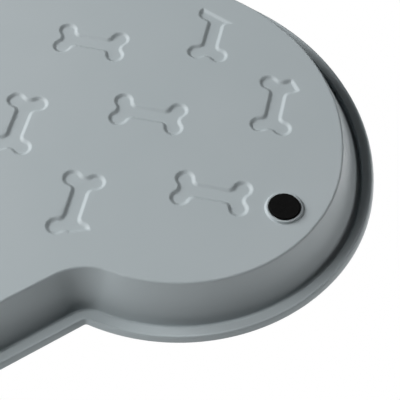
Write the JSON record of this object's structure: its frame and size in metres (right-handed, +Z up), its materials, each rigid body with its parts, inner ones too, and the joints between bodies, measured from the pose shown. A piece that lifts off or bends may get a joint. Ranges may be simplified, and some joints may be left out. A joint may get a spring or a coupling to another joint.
{
  "type": "pet tray",
  "caption": "Shallow bone-shaped moulded pet tray with raised bones across its floor, a beaded rim and round rubber feet.",
  "frame": {"origin": "middle of the tray on the plane that the feet stand on", "axes": "+X along the bone, +Y across it, +Z up out of the open side"},
  "size_m": [0.6158, 0.3774, 0.0224],
  "materials": {
    "tray_plastic": "satin",
    "foot_rubber": "matte",
    "adhesive": "foam tape"
  },
  "bodies": {
    "root": {"tray": "tray_plastic", "rubber_foot_front_left": "foot_rubber", "rubber_foot_front_right": "foot_rubber", "rubber_foot_back_left": "foot_rubber", "rubber_foot_back_right": "foot_rubber", "adhesive_disc_front_left": "adhesive", "adhesive_disc_front_right": "adhesive", "adhesive_disc_back_left": "adhesive", "adhesive_disc_back_right": "adhesive"}
  },
  "joints": []
}
